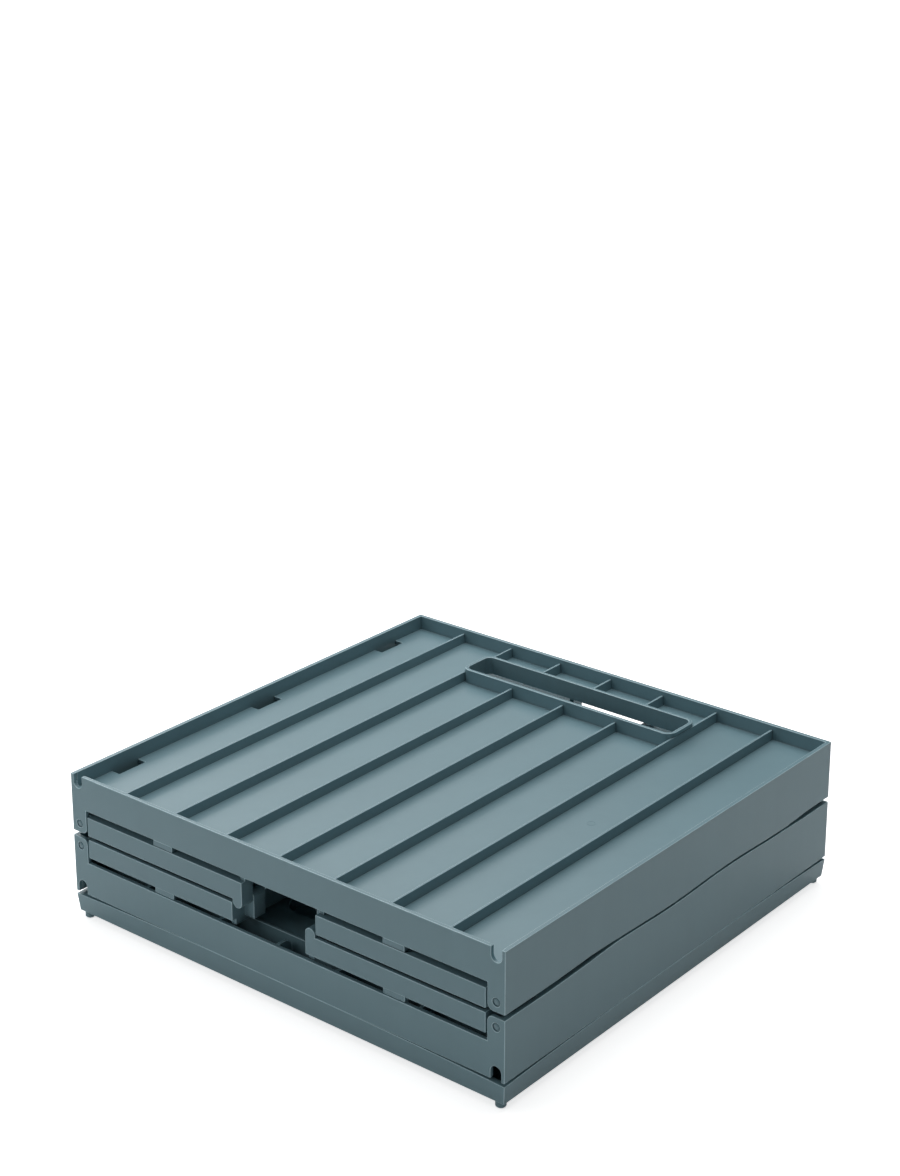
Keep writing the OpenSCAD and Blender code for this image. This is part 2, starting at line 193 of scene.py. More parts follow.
class CrateShape(bpy.types.PropertyGroup):
    """Sizes of the details that the mould leaves."""

    edge_radius: FloatProperty(
        name="Edge radius", description="Radius of the moulded edges and of the roots between two faces",
        subtype="DISTANCE", unit="LENGTH", default=0.32 * MM)
    rib_count: IntProperty(
        name="Ribs", description="Ribs across an end wall", min=1, max=12, default=7)
    rib_draft: FloatProperty(
        name="Rib draft", description="How much narrower a rib's top is on each side",
        subtype="DISTANCE", unit="LENGTH", default=0.28 * MM)
    rib_drop: FloatProperty(
        name="Rib drop", description="How far the rib tops lie under the rim",
        subtype="DISTANCE", unit="LENGTH", default=2.9 * MM)
    rim_wave: FloatProperty(
        name="Rim wave", description="How far the free edges of the long side rims rise at their crests",
        subtype="DISTANCE", unit="LENGTH", default=1.7 * MM)
    rim_thickness: FloatProperty(
        name="Rim thickness", description="How deep into the crate a side rim's faces lie",
        subtype="DISTANCE", unit="LENGTH", default=2.6 * MM)
    flange_reach: FloatProperty(
        name="Flange reach", description="How far in from the crate's side a leaf's outer flange ends",
        subtype="DISTANCE", unit="LENGTH", default=19 * MM)
    flange_edge: FloatProperty(
        name="Flange edge", description="How far from the fold plane a leaf's flange has its edge at most",
        subtype="DISTANCE", unit="LENGTH", default=2.6 * MM)
    flange_lean: FloatProperty(
        name="Flange lean", description="How much more a leaf's flange leans than its rim wanders",
        min=1, max=2, default=1.3)
    wave_start: FloatProperty(
        name="First crest", description="Where a side rim's first crest lies, as a share of its length",
        min=0, max=1, default=0.28)
    wave_length: FloatProperty(
        name="Crest spacing", description="Distance between a side rim's crests, as a share of its length",
        min=0.1, max=1, default=0.38)
    lid_bow: FloatProperty(
        name="Lid bow", description="How far the lid's rim sags at its corners",
        subtype="DISTANCE", unit="LENGTH", default=2.0 * MM)
    lid_give: FloatProperty(
        name="Lid give", description="How far down from its top the lid's rim gives way",
        subtype="DISTANCE", unit="LENGTH", default=9 * MM)
    cut_pitch: FloatProperty(
        name="Bend pitch", description="Distance between the lines along which a moulding may bend",
        subtype="DISTANCE", unit="LENGTH", default=12 * MM)
    pin_radius: FloatProperty(
        name="Pin radius", description="Radius of the hinge pins' shank",
        subtype="DISTANCE", unit="LENGTH", default=1.5 * MM)
    head_fit: FloatProperty(
        name="Pin head fit", description="Radius of a pin's head, as a share of its seat's",
        min=0.5, max=1, default=0.84)
    head_height: FloatProperty(
        name="Pin head height", description="Height of the domed head of an outer hinge pin",
        subtype="DISTANCE", unit="LENGTH", default=0.9 * MM)
    end_height: FloatProperty(
        name="Pin end height", description="Height of the domed end of a centre pin, which has no head",
        subtype="DISTANCE", unit="LENGTH", default=0.3 * MM)
    panel_recess: FloatProperty(
        name="Panel recess", description="How far an end wall's panel lies under the rim",
        subtype="DISTANCE", unit="LENGTH", default=9.1 * MM)
    panel_thickness: FloatProperty(
        name="Panel thickness", description="Thickness of an end wall's panel",
        subtype="DISTANCE", unit="LENGTH", default=2.5 * MM)
    gate_place: FloatVectorProperty(
        name="Gate place", description="Where the gate's mark lies on the upper panel",
        subtype="TRANSLATION", unit="LENGTH", size=2, default=(100.9 * MM, -4 * MM))
    ejector_rows: IntProperty(
        name="Ejector rows", description="Rows of ejector marks each way on a panel's inner face",
        min=1, max=12, default=4)
    ejector_field: FloatVectorProperty(
        name="Ejector field", description="Width and depth of the field of ejector marks",
        subtype="XYZ_LENGTH", unit="LENGTH", size=2, default=(240 * MM, 200 * MM))
    ejector_shift: FloatProperty(
        name="Ejector shift", description="How far that field lies off the panel's middle, towards the slot",
        subtype="DISTANCE", unit="LENGTH", default=-20 * MM)
    mark_radius: FloatProperty(
        name="Mark radius", description="Radius of the round marks that the gate and the ejectors leave",
        subtype="DISTANCE", unit="LENGTH", default=2.4 * MM)
    mark_bead: FloatProperty(
        name="Mark bead", description="Thickness of the bead round such a mark",
        subtype="DISTANCE", unit="LENGTH", default=0.22 * MM)


class CrateStudio(bpy.types.PropertyGroup):
    """Camera, floor and lights."""

    camera_place: FloatVectorProperty(
        name="Camera place", description="Where the camera stands",
        subtype="TRANSLATION", unit="LENGTH", default=(0.7907, -0.9724, 0.6907))
    camera_turn: FloatVectorProperty(
        name="Camera turn", description="Tilt up from straight down, roll and turn of the camera",
        subtype="EULER", unit="ROTATION",
        default=(math.radians(72.07), 0.0, math.radians(39.29)))
    lens: FloatProperty(name="Lens", description="Focal length in millimetres", default=71.6)
    lens_drop: FloatProperty(name="Lens drop", description="Vertical shift of the lens", default=-0.12)
    key_power: FloatProperty(
        name="Key", description="Power of the large lamp behind the left corner", unit="POWER", default=7.6)
    glare_power: FloatProperty(
        name="Glare", description="Power of the low lamp that shines on the top from the left",
        unit="POWER", default=2.9)
    top_power: FloatProperty(
        name="Top", description="Power of the lamp overhead", unit="POWER", default=15.9)
    front_power: FloatProperty(
        name="Front", description="Power of the lamp on the front left", unit="POWER", default=3.9)
    ambient: FloatProperty(
        name="Ambient", description="Strength of the even light from all sides", min=0, default=0.185)
    air_shine: FloatProperty(
        name="Air shine", description="How white the surroundings are in a reflection",
        min=0, max=1, default=0.05)
    floor_colour: FloatVectorProperty(
        name="Floor colour", description="Colour of the pale floor",
        subtype="COLOR", size=3, min=0, max=1, default=(0.86, 0.86, 0.86))
    floor_glow: FloatProperty(
        name="Floor glow", description="How much white the camera sees on the floor besides the lamps' light",
        min=0, max=1, default=0.72)
    floor_shine: FloatProperty(
        name="Floor shine", description="How white the floor is in a reflection besides the lamps' light",
        min=0, max=1, default=0.25)
    glow_near: FloatProperty(
        name="Glow near", description="Distance from the crate's middle where the floor starts to whiten",
        subtype="DISTANCE", unit="LENGTH", default=0.25)
    glow_far: FloatProperty(
        name="Glow far", description="Distance from the crate's middle where the floor is all white",
        subtype="DISTANCE", unit="LENGTH", default=0.9)


def plastic():
    """Settings of the plastic."""
    return bpy.context.scene.crate_plastic


def shape_sizes():
    """Settings of the shape."""
    return bpy.context.scene.crate_shape


def studio():
    """Settings of the studio."""
    return bpy.context.scene.crate_studio


# ---------------------------------------------------------------- node trees


def built_once(build):
    """Names a tree after the function that builds it, and builds it only where the file has none."""
    name = build.__name__.replace("_", " ").title()

    @functools.wraps(build)
    def tree():
        return bpy.data.node_groups.get(name) or build(name)

    return tree


def tree_with(kind, name, inputs, outputs):
    """A node tree with named sockets, and its input and output nodes."""
    tree = bpy.data.node_groups.new(name, kind)
    for label, socket_type, value in inputs:
        socket = tree.interface.new_socket(name=label, in_out="INPUT", socket_type=socket_type)
        if value is not None:
            socket.default_value = value
    for label, socket_type in outputs:
        tree.interface.new_socket(name=label, in_out="OUTPUT", socket_type=socket_type)
    return tree, tree.nodes.new("NodeGroupInput"), tree.nodes.new("NodeGroupOutput")


def add(tree, kind, **settings):
    """A new node with its settings."""
    node = tree.nodes.new(kind)
    for key, value in settings.items():
        setattr(node, key, value)
    return node


def feed(tree, socket, value):
    """Links a socket to the one given, or sets it to a plain value."""
    if isinstance(value, bpy.types.NodeSocket):
        tree.links.new(value, socket)
    else:
        socket.default_value = value


def maths(tree, operation, *values):
    """What a Math node makes of its values, which are numbers or sockets."""
    node = add(tree, "ShaderNodeMath", operation=operation)
    for socket, value in zip(node.inputs, values):
        feed(tree, socket, value)
    return node.outputs[0]


def noise(tree, place, scale, detail, roughness=0.5):
    """A noise pattern from 0 to 1, its scale a number or a socket."""
    texture = add(tree, "ShaderNodeTexNoise", noise_dimensions="3D")
    texture.inputs["Detail"].default_value = detail
    texture.inputs["Roughness"].default_value = roughness
    feed(tree, texture.inputs["Vector"], place)
    feed(tree, texture.inputs["Scale"], scale)
    return texture.outputs["Fac"]


def colour_mix(tree, blend, first, second, share):
    """The second colour laid over the first one by its share; each is a plain value or a socket."""
    node = add(tree, "ShaderNodeMix", data_type="RGBA", blend_type=blend)
    for label, value in (("A", first), ("B", second), ("Factor", share)):
        feed(tree, node.inputs[label], value)
    return node.outputs["Result"]


def effect(tree, group, place, values):
    """The outputs of a shader group in a material, with this material's own values."""
    node = add(tree, "ShaderNodeGroup", node_tree=group)
    feed(tree, node.inputs["Vector"], place)
    for label, value in values.items():
        node.inputs[label].default_value = value
    return node.outputs


# ---------------------------------------------------------------- plastic


@built_once
def moulded_grain(name):
    """Fine moulded texture: a height, and small changes of tone and roughness."""
    group, start, end = tree_with(
        "ShaderNodeTree", name,
        [("Vector", VECTOR, (0, 0, 0)), ("Grains per metre", NUMBER, 2200.0),
         ("Tone change", NUMBER, 0.06), ("Roughness", NUMBER, 0.5), ("Roughness change", NUMBER, 0.10)],
        [("Height", NUMBER), ("Tone", NUMBER), ("Roughness", NUMBER)])
    value = start.outputs
    fine = noise(group, value["Vector"], value["Grains per metre"], detail=2.0, roughness=0.6)
    clouds = noise(group, value["Vector"], CLOUDS_PER_METRE, detail=3.0)
    both = maths(group, "MULTIPLY_ADD", fine, FINE_SHARE, maths(group, "MULTIPLY", clouds, 1 - FINE_SHARE))
    centred = maths(group, "SUBTRACT", both, NOISE_MIDDLE)
    swing = maths(group, "DIVIDE", value["Tone change"], NOISE_MIDDLE)
    feed(group, end.inputs["Height"], fine)
    feed(group, end.inputs["Tone"], maths(group, "MULTIPLY_ADD", centred, swing, 1.0))
    feed(group, end.inputs["Roughness"], maths(
        group, "MULTIPLY_ADD", centred, value["Roughness change"], value["Roughness"]))
    return group


@built_once
def flow_marks(name):
    """Faint upright streaks, where the plastic has flowed down a tall thin wall."""
    group, start, end = tree_with(
        "ShaderNodeTree", name,
        [("Vector", VECTOR, (0, 0, 0)), ("Streaks per metre", NUMBER, 60.0), ("Strength", NUMBER, 0.04)],
        [("Tone", NUMBER)])
    upright = add(group, "ShaderNodeMapping")
    upright.inputs["Scale"].default_value = (1.0, 1.0, STREAK_STRETCH)
    feed(group, upright.inputs["Vector"], start.outputs["Vector"])
    streaks = noise(group, upright.outputs["Vector"], start.outputs["Streaks per metre"],
                    detail=4.0, roughness=0.7)
    centred = maths(group, "SUBTRACT", streaks, NOISE_MIDDLE)
    feed(group, end.inputs["Tone"], maths(group, "MULTIPLY_ADD", centred, start.outputs["Strength"], 1.0))
    return group


@built_once
def edge_wear(name):
    """Masks from the mesh's own edge attribute: the uneven outer edges, for a painted highlight and less
    roughness, and the roots, for painted shade.
    """
    group, start, end = tree_with(
        "ShaderNodeTree", name,
        [("Vector", VECTOR, (0, 0, 0)), ("Breaks per metre", NUMBER, 90.0)],
        [("Outer", NUMBER), ("Root", NUMBER)])
    edge = add(group, "ShaderNodeAttribute", attribute_name="edge").outputs["Fac"]
    breaks = noise(group, start.outputs["Vector"], start.outputs["Breaks per metre"], detail=5.0)
    uneven = maths(group, "MULTIPLY_ADD", breaks, EDGE_MASK_SWING, EDGE_MASK_LEAST)
    outer = maths(group, "MAXIMUM", edge, 0.0)
    feed(group, end.inputs["Outer"], maths(group, "MULTIPLY", outer, uneven))
    feed(group, end.inputs["Root"], maths(group, "MAXIMUM", maths(group, "MULTIPLY", edge, -1.0), 0.0))
    return group


def moulded_plastic(name, colour, tone_change, streaks, roughness):
    """Matt moulded plastic in a material of its own."""
    settings = plastic()
    material = bpy.data.materials.new(name)
    material.use_nodes = True
    tree = material.node_tree
    surface = tree.nodes["Principled BSDF"]
    place = add(tree, "ShaderNodeTexCoord").outputs["Object"]
    grain = effect(tree, moulded_grain(), place, {
        "Grains per metre": 1 / settings.grain_size, "Tone change": tone_change, "Roughness": roughness})
    flow = effect(tree, flow_marks(), place, {"Strength": streaks})
    edge_masks = effect(tree, edge_wear(), place, {})

    tone = maths(tree, "MULTIPLY", grain["Tone"], flow["Tone"])
    # Painted highlight: the outer edges take the pale edge colour by the edge polish setting; their mask also
    # lowers the roughness.
    highlit = maths(tree, "MULTIPLY", edge_masks["Outer"], settings.edge_light)
    shade = settings.root_shade
    skin = colour_mix(tree, "MULTIPLY", (*colour, 1.0), tone, 1.0)
    skin = colour_mix(tree, "MIX", skin, (*settings.edge_colour, 1.0), highlit)
    # Painted shade: the roots between two faces are darkened by the root shade.
    skin = colour_mix(tree, "MULTIPLY", skin, (shade, shade, shade, 1.0), edge_masks["Root"])
    feed(tree, surface.inputs["Base Color"], skin)
    feed(tree, surface.inputs["Roughness"], maths(
        tree, "MULTIPLY_ADD", edge_masks["Outer"], -settings.edge_gloss, grain["Roughness"]))

    bump = add(tree, "ShaderNodeBump")
    bump.inputs["Distance"].default_value = settings.grain_depth
    bump.inputs["Strength"].default_value = settings.grain_strength
    feed(tree, bump.inputs["Height"], grain["Height"])
    feed(tree, surface.inputs["Normal"], bump.outputs["Normal"])
    return material


def slot_material(slot):
    """The material of one of the record's slots, made when it is first asked for."""
    name, tone_change, streaks, rougher = FINISHES[slot]
    colour = getattr(plastic(), slot + "_colour")
    roughness = plastic().roughness + rougher
    made = bpy.data.materials.get(name)
    return made or moulded_plastic(name, colour, tone_change, streaks, roughness)


# ---------------------------------------------------------------- mesh work


def moulding_copy(node):
    """A node's own shape as a clean mesh, with its flat faces whole again."""
    shape = bmesh.new()
    shape.from_mesh(frame["nodes"][node].data)
    bmesh.ops.remove_doubles(shape, verts=shape.verts, dist=WELD)
    bmesh.ops.dissolve_degenerate(shape, dist=WELD / 2, edges=shape.edges)
    bmesh.ops.dissolve_limit(shape, angle_limit=FLAT_ANGLE, verts=shape.verts, edges=shape.edges)
    return shape


def round_edges(shape, radius):
    """Rounds every sharp edge and root, and marks the strips: 1 on an outer edge, -1 in a root."""
    mark = shape.faces.layers.float.new("edge")
    sharp = [e for e in shape.edges if e.is_manifold and e.calc_face_angle() > SHARP_ANGLE]
    made = bmesh.ops.bevel(
        shape, geom=sharp, offset=radius, offset_type="OFFSET", segments=BEVEL_STEPS, profile=0.5,
        affect="EDGES", clamp_overlap=False, miter_outer="PATCH", miter_inner="SHARP")
    strips = set(made["faces"])
    shape.normal_update()
    for face in strips:
        crest = [v for v in face.verts if all(other in strips for other in v.link_faces)]
        bend = sum(e.calc_face_angle_signed(0) for v in crest for e in v.link_edges)
        face[mark] = math.copysign(1.0, bend)


def cut_up(shape, pitch):
    """Cuts wide faces by upright planes, so that they can bend and their outlines stay simple."""
    for axis in BEND_AXES:
        cut_across(shape, axis, pitch)
    order_faces(shape)
    shape.normal_update()
    bmesh.ops.poke(shape, faces=folded_faces(shape))


def soften(shape):
    """Rounds a moulding's edges and readies its faces for bending."""
    sizes = shape_sizes()
    round_edges(shape, sizes.edge_radius)
    cut_up(shape, sizes.cut_pitch)


def folded_faces(shape):
    """Faces with a notch so fine that a triangle of theirs would lie the wrong way up, in mesh order."""
    folded = []
    for corners in shape.calc_loop_triangles():
        face = corners[0].face
        first, second, third = (corner.vert.co for corner in corners)
        upturned = (second - first).cross(third - first).dot(face.normal) < 0
        if upturned and face not in folded:
            folded.append(face)
    return folded


def cut_across(shape, axis, pitch):
    """Cuts a shape's faces by evenly spaced planes square to an axis."""
    places = [v.co[axis] for v in shape.verts]
    low, high = min(places), max(places)
    count = math.ceil((high - low) / pitch)
    normal = Vector([1.0 if i == axis else 0.0 for i in range(3)])
    for step in range(1, count):
        everything = shape.verts[:] + shape.edges[:] + shape.faces[:]
        place = normal * (low + (high - low) * step / count)
        bmesh.ops.bisect_plane(shape, geom=everything, dist=ON_PLANE, plane_co=place, plane_no=normal)


def order_faces(shape):
    """Makes the faces anew in the order of their corners, because cuts leave them in any order."""
    mark = shape.faces.layers.float["edge"]
    verts = shape.verts[:]
    shape.verts.index_update()
    marks = {}
    for face in shape.faces:
        corners = [vert.index for vert in face.verts]
        first = corners.index(min(corners))
        marks[tuple(corners[first:] + corners[:first])] = face[mark]
    bmesh.ops.delete(shape, geom=shape.edges[:] + shape.faces[:], context="EDGES_FACES")
    for corners in sorted(marks):
        face = shape.faces.new([verts[corner] for corner in corners])
        face[mark] = marks[corners]


def finished_piece(node, shape):
    """Turns a node's reworked shape into a shaded piece."""
    mesh = bpy.data.meshes.new(node)
    shape.to_mesh(mesh)
    shape.free()
    mesh.materials.append(slot_material(slot_of_node(node)))
    mesh.shade_smooth()
    rough = linked_object(node + "_rough", mesh)
    weighted = rough.modifiers.new("Face weights", "WEIGHTED_NORMAL")
    weighted.mode = "FACE_AREA"
    weighted.weight = AREA_WEIGHT
    plain_piece(node + "_moulding", rough, node)


def plain_piece(name, rough, node):
    """Keeps what an object's modifiers make of it as a plain mesh that rides in place of a node."""
    body, slot = body_of_node(node), slot_of_node(node)
    made = evaluated_mesh(rough)
    made.name = name
    piece = linked_object(name, made)
    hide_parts(node)
    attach(piece, body)


def linked_object(name, data):
    """A new object in the scene."""
    obj = bpy.data.objects.new(name, data)
    bpy.context.scene.collection.objects.link(obj)
    return obj


def evaluated_mesh(obj):
    """What an object's modifiers make, as a plain mesh in place of the object."""
    graph = bpy.context.evaluated_depsgraph_get()
    made = bpy.data.meshes.new_from_object(obj.evaluated_get(graph))
    if not made.polygons:
        raise RuntimeError(f"{obj.name} came out empty")
    bpy.data.objects.remove(obj)
    return made


# ---------------------------------------------------------------- geometry node trees


def close_tree(tree, start, end, mesh):
    """Ends a geometry tree: instances made real, smooth shading and the material set."""
    real = add(tree, "GeometryNodeRealizeInstances")
    smooth = add(tree, "GeometryNodeSetShadeSmooth")
    dressed = add(tree, "GeometryNodeSetMaterial")
    for node in (real, smooth, dressed):
        feed(tree, node.inputs["Geometry"], mesh)
        mesh = node.outputs["Geometry"]
    feed(tree, dressed.inputs["Material"], start.outputs["Material"])
    feed(tree, end.inputs["Geometry"], mesh)


def quarter_round(tree, share, least):
    """Height of a unit quarter circle at a share of its reach; its square is never under the least."""
    squared = maths(tree, "POWER", maths(tree, "MAXIMUM", share, 0.0), 2.0)
    return maths(tree, "SQRT", maths(tree, "MAXIMUM", maths(tree, "SUBTRACT", 1.0, squared), least))


@built_once
def turned_pin(name):
    """A pin along +Y with a domed head and a rounded tip, its radius worked out along its length."""
    tree, start, end = tree_with(
        "GeometryNodeTree", name,
        [("Length", NUMBER, 18 * MM), ("Shank radius", NUMBER, 1.5 * MM), ("Head radius", NUMBER, 2.2 * MM),
         ("Head height", NUMBER, 0.9 * MM), ("Tip round", NUMBER, 0.5 * MM),
         ("Rings", COUNT, 60), ("Sides", COUNT, 36), ("Material", MATERIAL, None)],
        [("Geometry", GEOMETRY)])
    value = start.outputs

    axis = add(tree, "GeometryNodeCurvePrimitiveLine")
    finish = add(tree, "ShaderNodeCombineXYZ")
    feed(tree, finish.inputs["Y"], value["Length"])
    feed(tree, axis.inputs["End"], finish.outputs[0])
    rings = add(tree, "GeometryNodeResampleCurve")
    feed(tree, rings.inputs["Curve"], axis.outputs["Curve"])
    feed(tree, rings.inputs["Count"], value["Rings"])

    # Rings lie closer together towards the head, where the radius changes most.
    along = maths(tree, "POWER", add(tree, "GeometryNodeSplineParameter").outputs["Factor"], RING_CROWDING)
    moved = add(tree, "ShaderNodeCombineXYZ")
    feed(tree, moved.inputs["Y"], maths(tree, "MULTIPLY", along, value["Length"]))
    placed = add(tree, "GeometryNodeSetPosition")
    feed(tree, placed.inputs["Geometry"], rings.outputs["Curve"])
    feed(tree, placed.inputs["Position"], moved.outputs[0])

    # Head: a quarter ellipse. Tip: a quarter circle taken off the shank's radius.
    where = add(tree, "ShaderNodeSeparateXYZ")
    feed(tree, where.inputs[0], add(tree, "GeometryNodeInputPosition").outputs["Position"])
    reach = where.outputs["Y"]
    out = maths(tree, "SUBTRACT", 1.0, maths(tree, "DIVIDE", reach, value["Head height"]))
    dome = quarter_round(tree, out, SMALLEST_RING ** 2)
    left = maths(tree, "SUBTRACT", value["Length"], reach)
    short = maths(tree, "SUBTRACT", 1.0, maths(tree, "DIVIDE", left, value["Tip round"]))
    lost = maths(tree, "SUBTRACT", 1.0, quarter_round(tree, short, 0.0))
    radius = add(tree, "ShaderNodeMix", data_type="FLOAT")
    feed(tree, radius.inputs["Factor"], maths(tree, "LESS_THAN", reach, value["Head height"]))
    feed(tree, radius.inputs["A"], maths(
        tree, "SUBTRACT", value["Shank radius"], maths(tree, "MULTIPLY", lost, value["Tip round"])))
    feed(tree, radius.inputs["B"], maths(tree, "MULTIPLY", dome, value["Head radius"]))

    ring = add(tree, "GeometryNodeCurvePrimitiveCircle")
    ring.inputs["Radius"].default_value = 1.0
    feed(tree, ring.inputs["Resolution"], value["Sides"])
    skin = add(tree, "GeometryNodeCurveToMesh")
    skin.inputs["Fill Caps"].default_value = True
    feed(tree, skin.inputs["Curve"], placed.outputs["Geometry"])
    feed(tree, skin.inputs["Profile Curve"], ring.outputs["Curve"])
    feed(tree, skin.inputs["Scale"], radius.outputs["Result"])
    close_tree(tree, start, end, skin.outputs["Mesh"])
    return tree


@built_once
def mould_marks(name):
    """A field of shallow round beads, one for each ejector or gate of the mould."""
    tree, start, end = tree_with(
        "GeometryNodeTree", name,
        [("Width", NUMBER, 240 * MM), ("Depth", NUMBER, 240 * MM), ("Across", COUNT, 4), ("Along", COUNT, 4),
         ("Mark radius", NUMBER, 3 * MM), ("Bead", NUMBER, 0.12 * MM), ("Material", MATERIAL, None)],
        [("Geometry", GEOMETRY)])
    value = start.outputs
    field = add(tree, "GeometryNodeMeshGrid")
    for label, socket in (("Width", "Size X"), ("Depth", "Size Y"), ("Across", "Vertices X"),
                          ("Along", "Vertices Y")):
        feed(tree, field.inputs[socket], value[label])
    bead = add(tree, "GeometryNodeCurveToMesh")
    for socket, radius, sides in (("Curve", "Mark radius", MARK_SIDES),
                                  ("Profile Curve", "Bead", BEAD_SIDES)):
        circle = add(tree, "GeometryNodeCurvePrimitiveCircle")
        circle.inputs["Resolution"].default_value = sides
        feed(tree, circle.inputs["Radius"], value[radius])
        feed(tree, bead.inputs[socket], circle.outputs["Curve"])
    copies = add(tree, "GeometryNodeInstanceOnPoints")
    feed(tree, copies.inputs["Points"], field.outputs["Mesh"])
    feed(tree, copies.inputs["Instance"], bead.outputs["Mesh"])
    close_tree(tree, start, end, copies.outputs["Instances"])
    return tree


def tree_mesh(tree, values):
    """What a geometry tree makes with these values, as a plain mesh."""
    blank = linked_object(tree.name, bpy.data.meshes.new(tree.name))
    modifier = blank.modifiers.new(tree.name, "NODES")
    modifier.node_group = tree
    for item in tree.interface.items_tree:
        if item.in_out == "INPUT" and item.name in values:
            modifier[item.identifier] = values[item.name]
    return evaluated_mesh(blank)


def join_marks(shape, place, **values):
    """Adds a level field of round marks to a moulding, its middle at a place."""
    sizes = shape_sizes()
    values.update({"Mark radius": sizes.mark_radius, "Bead": sizes.mark_bead,
                   "Material": slot_material("shell")})
    marks = tree_mesh(mould_marks(), values)
    marks.transform(Matrix.Translation(place))
    shape.from_mesh(marks)
    bpy.data.meshes.remove(marks)


# ---------------------------------------------------------------- the crate's pieces


def side_wave(vert, low, high):
    """How far a long side rim wanders at a vertex's share of its length, from 0 to 1."""
    sizes = shape_sizes()
    along = min(1.0, max(0.0, (vert.co.y - low.y) / (high.y - low.y)))
    first = sizes.wave_start if vert.co.x > 0 else 1 - sizes.wave_start
    swell = 0.5 + 0.5 * math.cos(math.tau * (along - first) / sizes.wave_length)
    return swell * math.sin(math.pi * along) ** 0.5


def wave_side_rims(shape, low, high, rim_z):
    """Lets the free edges of the two side rims wander, as thin long walls do."""
    sizes = shape_sizes()
    reach = abs(rim_z - fold_height())
    for vert in shape.verts:
        edge_x = high.x if vert.co.x > 0 else low.x
        if abs(vert.co.x - edge_x) < sizes.rim_thickness:
            depth = min(1.0, abs(vert.co.z - rim_z) / reach)
            vert.co.z += sizes.rim_wave * side_wave(vert, low, high) * depth ** RIM_FADE


def lean_flange(shape):
    """Leans a lower leaf's outer flange in step with the rim that it stands on when the crate is up."""
    sizes = shape_sizes()
    low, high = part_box("lower_end_wall")
    fold_z = fold_height()
    for vert in shape.verts:
        outside = abs(vert.co.x) > high.x - sizes.flange_reach
        if outside and 0 < fold_z - vert.co.z < sizes.flange_edge:
            lean = sizes.flange_lean * sizes.rim_wave * side_wave(vert, low, high)
            vert.co.x -= math.copysign(lean, vert.co.x)


def draft_ribs(shape, low, high, rib_z):
    """Makes the tops of the ribs narrower than their roots."""
    sizes = shape_sizes()
    pitch = (high.x - low.x) / (sizes.rib_count + 1)
    for vert in shape.verts:
        number = round((vert.co.x - low.x) / pitch)
        off = vert.co.x - (low.x + number * pitch)
        on_rib = 0 < number <= sizes.rib_count and abs(off) < RIB_HALF_WIDTH
        if on_rib and abs(vert.co.z - rib_z) < LEVEL:
            vert.co.x -= math.copysign(sizes.rib_draft, off)


class CRATE_OT_end_walls(bpy.types.Operator):
    """Finish the two ribbed end walls"""

    bl_idname = "crate.end_walls"
    bl_label = "End walls"

    def execute(self, context):
        sizes = shape_sizes()
        for node, inward in WALLS.items():
            low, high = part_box(node)
            rim_z = low.z if inward > 0 else high.z
            shape = moulding_copy(node)
            draft_ribs(shape, low, high, rim_z + inward * sizes.rib_drop)
            soften(shape)
            wave_side_rims(shape, low, high, rim_z)
            self.mark_panel(shape, rim_z, inward)
            finished_piece(node, shape)
        return {"FINISHED"}

    def mark_panel(self, shape, rim_z, inward):
        """Puts the gate's mark outside on the panel and a field of ejector marks inside on it."""
        sizes = shape_sizes()
        gate_x, gate_y = sizes.gate_place
        rows = sizes.ejector_rows
        width, depth = sizes.ejector_field
        sunk = MARK_SINK * sizes.mark_bead
        outside = rim_z + inward * (sizes.panel_recess + sunk)
        inside = rim_z + inward * (sizes.panel_recess + sizes.panel_thickness - sunk)
        join_marks(shape, (-inward * gate_x, gate_y, outside), Across=1, Along=1)
        join_marks(shape, (0, sizes.ejector_shift, inside),
                   Across=rows, Along=rows, Width=width, Depth=depth)


class CRATE_OT_leaves(bpy.types.Operator):
    """Finish the four folding side leaves"""

    bl_idname = "crate.leaves"
    bl_label = "Side leaves"

    def execute(self, context):
        for node in LEAVES:
            shape = moulding_copy(node)
            soften(shape)
            if node in LOWER_LEAVES:
                lean_flange(shape)
            finished_piece(node, shape)
        return {"FINISHED"}


class CRATE_OT_pins(bpy.types.Operator):
    """Turn the twelve hinge pins"""

    bl_idname = "crate.pins"
    bl_label = "Hinge pins"

    def execute(self, context):
        for node in sorted(n for n in frame["nodes"] if n.endswith("_pin")):
            self.turn_pin(node)
        return {"FINISHED"}

    def turn_pin(self, node):
        """Makes one pin in its node's place, its head at the nearer end of the hinge."""
        sizes = shape_sizes()
        low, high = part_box(node)
        centre = (low + high) / 2
        headed = "centre" not in node
        widest = (high.x - low.x) / 2
        values = {
            "Length": high.y - low.y,
            "Shank radius": sizes.pin_radius if headed else widest,
            "Head radius": widest * sizes.head_fit if headed else widest,
            "Head height": sizes.head_height if headed else sizes.end_height,
            "Material": slot_material("pin"),
        }
        mesh = tree_mesh(turned_pin(), values)
        at_rear = centre.y > 0
        turn = Matrix.Rotation(math.pi, 4, "Z") if at_rear else Matrix.Identity(4)
        head_y = high.y if at_rear else low.y
        mesh.transform(Matrix.Translation((centre.x, head_y, centre.z)) @ turn)
        plain_piece(node + "_turned", linked_object(node + "_rough", mesh), node)


